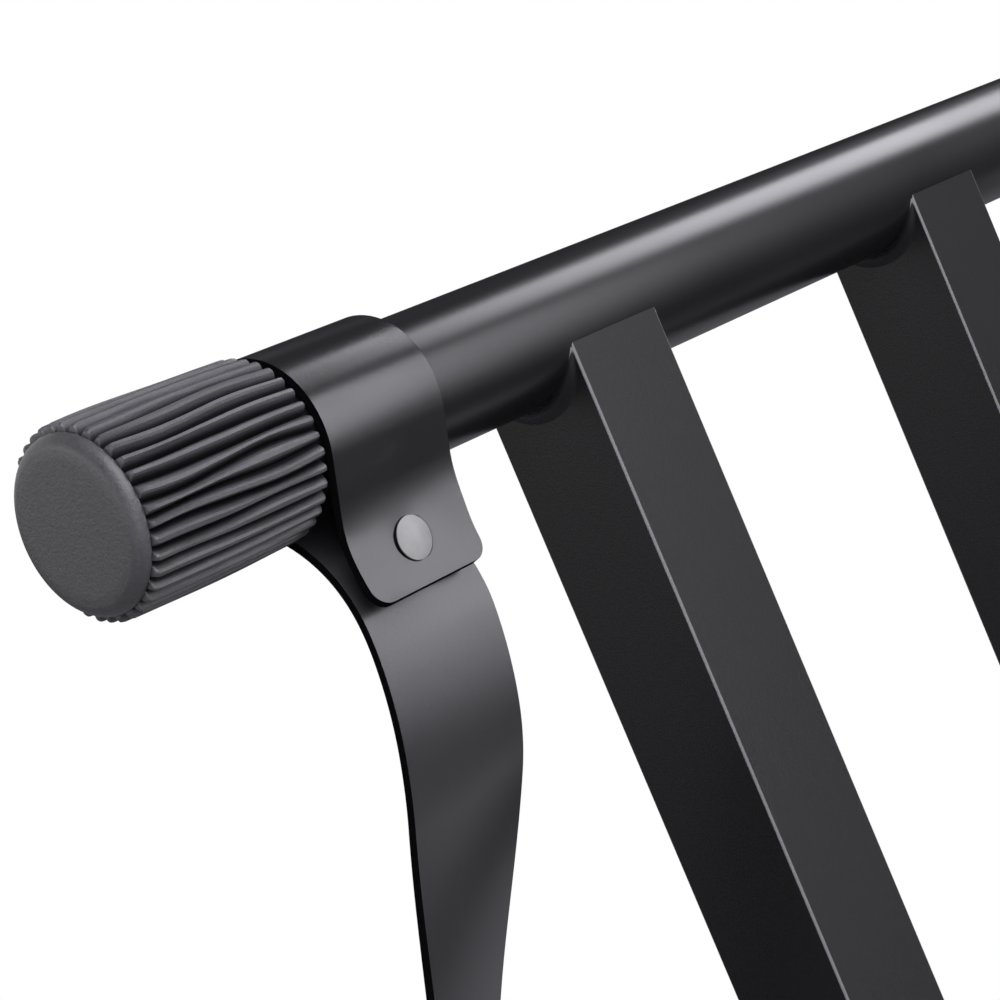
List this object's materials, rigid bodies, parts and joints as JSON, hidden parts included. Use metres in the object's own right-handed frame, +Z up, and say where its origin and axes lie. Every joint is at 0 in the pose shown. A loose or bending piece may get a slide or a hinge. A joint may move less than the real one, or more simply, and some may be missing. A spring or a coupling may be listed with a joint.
{
  "type": "keyboard stand",
  "caption": "Double-braced folding X stand for a keyboard: crossed square legs, round support and foot tubes, ribbed rubber end caps, trigger friction lock and riveted hold-down straps.",
  "frame": {"origin": "on the floor, midway between the four feet, below the pivot", "axes": "+Z up, +Y from the trigger side to the rear, +X from the left support tube to the right one"},
  "size_m": [0.4898, 0.35, 0.8195],
  "materials": {
    "tube_paint": "black satin enamel",
    "leg_coat": "charcoal fine-textured powder coat",
    "cap_rubber": "dark grey fine-grained rubber",
    "strap_vinyl": "dark grey smooth satin vinyl",
    "rivet_nickel": "satin nickel plate",
    "hook_pad": "woven nylon hooks",
    "loop_pad": "brushed nylon loops",
    "pivot_steel": "zinc-plated steel",
    "disc_steel": "turned steel",
    "spring_steel": "drawn spring wire",
    "bush_nylon": "black moulded nylon",
    "lock_paint": "black powder coat",
    "trigger_rubber": "black moulded grip"
  },
  "bodies": {
    "outer_frame": {"outer_front_leg": "leg_coat", "outer_rear_leg": "leg_coat", "outer_support_tube": "tube_paint", "outer_foot_tube": "tube_paint", "outer_front_grip_cap": "cap_rubber", "outer_rear_grip_cap": "cap_rubber", "outer_front_foot_cap": "cap_rubber", "outer_rear_foot_cap": "cap_rubber", "front_pivot_bush": "bush_nylon", "rear_pivot_bush": "bush_nylon", "lock_bracket": "lock_paint", "bracket_screws": "pivot_steel", "lever_pin": "pivot_steel", "lever_spring": "spring_steel"},
    "inner_frame": {"inner_front_leg": "leg_coat", "inner_rear_leg": "leg_coat", "inner_support_tube": "tube_paint", "inner_foot_tube": "tube_paint", "inner_front_grip_cap": "cap_rubber", "inner_rear_grip_cap": "cap_rubber", "inner_front_foot_cap": "cap_rubber", "inner_rear_foot_cap": "cap_rubber", "pivot_axle": "pivot_steel", "pivot_spacer": "pivot_steel", "front_pivot_washer": "pivot_steel", "rear_pivot_washer": "pivot_steel", "front_pivot_nut": "pivot_steel", "rear_pivot_nut": "pivot_steel", "lock_disc": "disc_steel"},
    "trigger": {"trigger_lever": "lock_paint", "trigger_grip": "trigger_rubber"},
    "left_strap": {"outer_strap": "strap_vinyl", "outer_strap_rivet": "rivet_nickel", "outer_strap_hook_pad": "hook_pad", "outer_strap_loop_pad": "loop_pad"},
    "right_strap": {"inner_strap": "strap_vinyl", "inner_strap_rivet": "rivet_nickel", "inner_strap_hook_pad": "hook_pad", "inner_strap_loop_pad": "loop_pad"}
  },
  "joints": [
    {"name": "frame_fold", "type": "hinge", "parent": "outer_frame", "child": "inner_frame", "pos_m": [0, 0, 0.40929], "axis": [0, 1, 0], "range_deg": [-52, 86]},
    {"name": "trigger_squeeze", "type": "hinge", "parent": "outer_frame", "child": "trigger", "pos_m": [-0.027, -0.0763, 0.45606], "axis": [0, -1, 0], "range_deg": [0, 20], "stiffness_Nm_per_rad": 1.2, "springref_deg": -11.46},
    {"name": "left_strap_swing", "type": "hinge", "parent": "outer_frame", "child": "left_strap", "pos_m": [-0.22707, -0.1211, 0.80358], "axis": [0, 1, 0], "range_deg": [-35, 35]},
    {"name": "right_strap_swing", "type": "hinge", "parent": "inner_frame", "child": "right_strap", "pos_m": [0.22707, 0.1211, 0.80358], "axis": [0, 1, 0], "range_deg": [-35, 35]}
  ]
}
